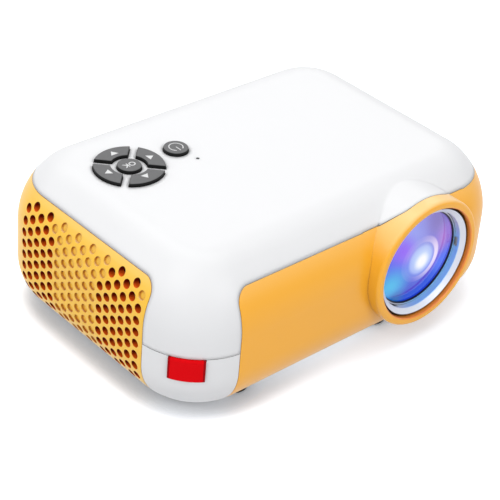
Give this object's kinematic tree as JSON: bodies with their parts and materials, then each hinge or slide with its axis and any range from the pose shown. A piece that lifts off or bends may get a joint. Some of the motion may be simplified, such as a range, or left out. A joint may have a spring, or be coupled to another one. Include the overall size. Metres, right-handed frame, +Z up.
{
  "type": "mini projector",
  "caption": "Palm-size LED projector with rounded shell, round lens hood, perforated end, top key pad and rear sockets.",
  "frame": {"origin": "centre of the bounding box's bottom face, under the rubber feet", "axes": "+Z up, the lens looks along -Y, the perforated end is on -X, the sockets are on +Y"},
  "size_m": [0.135, 0.1014, 0.0522],
  "materials": {
    "white_shell": "smooth satin gloss ABS",
    "orange_shell": "smooth satin orange ABS",
    "grille_shell": "smooth satin orange ABS, perforated",
    "black_rubber": "matt black rubber",
    "screw_steel": "black zinc screws",
    "nut_brass": "turned brass",
    "red_tape": "woven red tape, bare",
    "black_plastic": "matt black moulded plastic",
    "reflector": "bright reflector",
    "ring_silver": "satin silver paint",
    "coated_glass": "blue and violet anti-reflection coating",
    "clear_glass": "clear glass",
    "clear_acrylic": "clear Fresnel acrylic",
    "lcd_glass": "dark liquid crystal panel",
    "mirror_silver": "first-surface mirror",
    "led_yellow": "white board with yellow phosphor",
    "sink_aluminium": "extruded aluminium",
    "board_green": "green circuit board",
    "switch_black": "black switches",
    "lamp_clear": "clear light pipe",
    "ir_dark": "dark infrared window",
    "speaker_black": "black paper cone and steel",
    "socket_steel": "plated steel",
    "socket_black": "black nylon",
    "key_grey": "dark grey silicone-painted plastic"
  },
  "bodies": {
    "housing": {"top_cover": "white_shell", "bottom_shell": "white_shell", "front_panel": "orange_shell", "rear_panel": "orange_shell", "side_grille": "grille_shell", "rubber_feet": "black_rubber", "case_screws": "screw_steel", "tripod_nut": "nut_brass", "seam_tag": "red_tape", "lens_tube": "black_plastic", "key_board": "board_green", "key_switches": "switch_black", "key_board_screws": "screw_steel", "status_lamp": "lamp_clear", "engine_housing": "black_plastic", "engine_lid": "black_plastic", "engine_screws": "screw_steel", "mirror": "mirror_silver", "light_cone": "reflector", "led_module": "led_yellow", "heat_sink": "sink_aluminium", "fan_frame": "black_plastic", "main_board": "board_green", "board_screws": "screw_steel", "ir_window": "ir_dark", "ir_receiver": "ir_dark", "speaker": "speaker_black", "condenser_lens": "clear_acrylic", "heat_glass": "clear_glass", "lcd_panel": "lcd_glass", "field_lens": "clear_acrylic", "hdmi_socket": "socket_steel", "usb_socket": "socket_steel", "card_slot": "socket_steel", "av_socket": "socket_black", "power_inlet": "socket_black"},
    "focus_ring": {"focus_ring": "ring_silver"},
    "lens_barrel": {"lens_barrel": "black_plastic", "front_glass": "coated_glass", "middle_glass": "clear_glass", "rear_glass": "clear_glass"},
    "fan_rotor": {"fan_rotor": "black_plastic"},
    "right_key": {"right_key": "key_grey"},
    "back_key": {"back_key": "key_grey"},
    "left_key": {"left_key": "key_grey"},
    "forward_key": {"forward_key": "key_grey"},
    "ok_key": {"ok_key": "key_grey"},
    "power_key": {"power_key": "key_grey"}
  },
  "joints": [
    {"name": "focus_turn", "type": "hinge", "parent": "housing", "child": "focus_ring", "pos_m": [0.0244, -0.05068, 0.0283], "axis": [0, 1, 0], "range_deg": [-60, 60]},
    {"name": "focus_travel", "type": "slide", "parent": "focus_ring", "child": "lens_barrel", "axis": [0, 1, 0], "range_m": [-0.0012, 0.0012]},
    {"name": "fan_spin", "type": "hinge", "parent": "housing", "child": "fan_rotor", "pos_m": [-0.0517, 0.00217, 0.02365], "axis": [1, 0, 0], "continuous": true},
    {"name": "right_key_press", "type": "slide", "parent": "housing", "child": "right_key", "axis": [0, 0, 1], "range_m": [-0.0004, 0], "stiffness_N_per_m": 400},
    {"name": "back_key_press", "type": "slide", "parent": "housing", "child": "back_key", "axis": [0, 0, 1], "range_m": [-0.0004, 0], "stiffness_N_per_m": 400},
    {"name": "left_key_press", "type": "slide", "parent": "housing", "child": "left_key", "axis": [0, 0, 1], "range_m": [-0.0004, 0], "stiffness_N_per_m": 400},
    {"name": "forward_key_press", "type": "slide", "parent": "housing", "child": "forward_key", "axis": [0, 0, 1], "range_m": [-0.0004, 0], "stiffness_N_per_m": 400},
    {"name": "ok_key_press", "type": "slide", "parent": "housing", "child": "ok_key", "axis": [0, 0, 1], "range_m": [-0.0004, 0], "stiffness_N_per_m": 400},
    {"name": "power_key_press", "type": "slide", "parent": "housing", "child": "power_key", "axis": [0, 0, 1], "range_m": [-0.0004, 0], "stiffness_N_per_m": 400}
  ],
  "couplings": [
    {"joint": "focus_travel", "follows": "focus_turn", "m_per_rad": 0.0011459}
  ]
}
